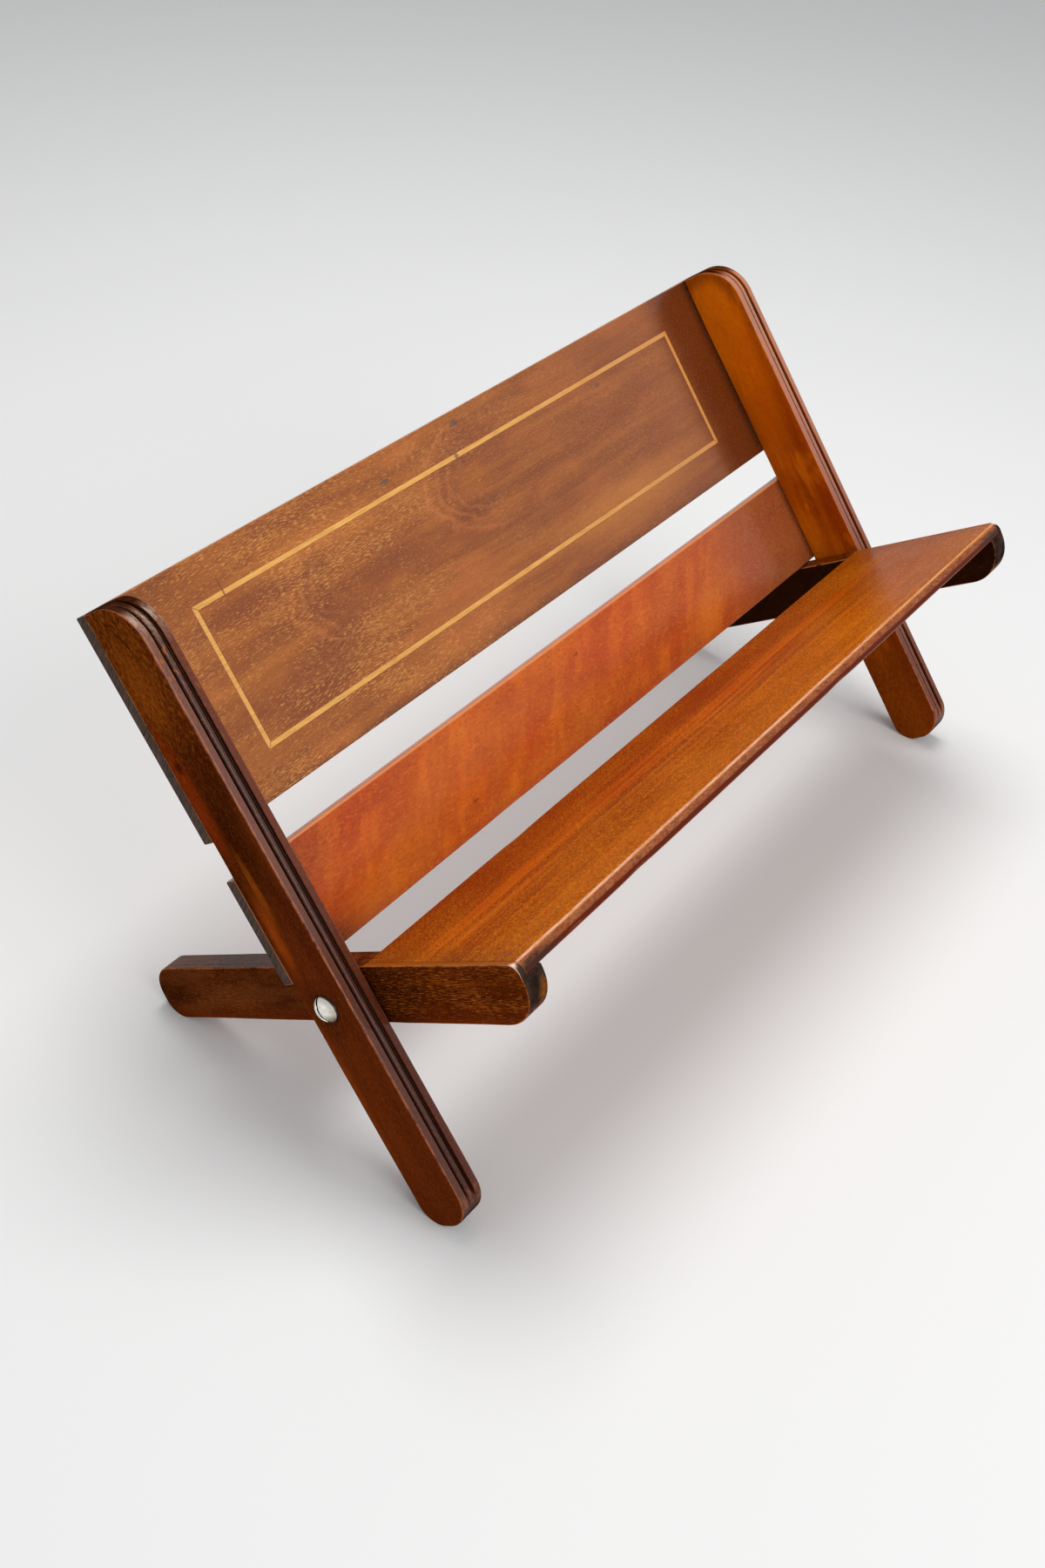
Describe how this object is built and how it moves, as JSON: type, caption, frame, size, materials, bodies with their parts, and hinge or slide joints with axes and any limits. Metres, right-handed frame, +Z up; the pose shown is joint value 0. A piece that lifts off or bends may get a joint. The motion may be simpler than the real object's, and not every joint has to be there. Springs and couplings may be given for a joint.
{
  "type": "folding book stand",
  "caption": "Folding wooden book stand: reeded uprights with an inlaid back panel cross a shelf frame on two pivot screws, so the shelf folds flat against the back.",
  "frame": {"origin": "on the table under the middle of the open stand", "axes": "+X along the stand's width to its right, -Y towards the reader, +Z up"},
  "size_m": [0.4076, 0.1934, 0.2057],
  "materials": {
    "upright_mahogany": "French polished, glossy, worn at the edges",
    "panel_mahogany": "French polished, glossy, fine flecked grain",
    "slat_mahogany": "French polished, glossy",
    "arm_mahogany": "French polished, glossy, worn at the edges",
    "shelf_mahogany": "French polished, glossy, striped grain",
    "boxwood": "polished flush with the panel",
    "nickel": "worn bright plating",
    "brass": "dull, aged",
    "pin_steel": "dark, oxidised"
  },
  "bodies": {
    "back_frame": {"left_upright": "upright_mahogany", "right_upright": "upright_mahogany", "upper_back_panel": "panel_mahogany", "lower_back_slat": "slat_mahogany", "inlay_top": "boxwood", "inlay_bottom": "boxwood", "inlay_left": "boxwood", "inlay_right": "boxwood", "left_panel_screws": "brass", "right_panel_screws": "brass", "left_slat_screws": "brass", "right_slat_screws": "brass"},
    "shelf_frame": {"left_arm": "arm_mahogany", "right_arm": "arm_mahogany", "shelf": "shelf_mahogany", "left_shelf_pins": "pin_steel", "right_shelf_pins": "pin_steel", "left_pivot_screw": "nickel", "right_pivot_screw": "nickel", "left_spacer_washer": "brass", "right_spacer_washer": "brass"}
  },
  "joints": [
    {"name": "fold", "type": "hinge", "parent": "back_frame", "child": "shelf_frame", "pos_m": [0, -0.01972, 0.07779], "axis": [-1, 0, 0], "range_deg": [0, 95]}
  ]
}
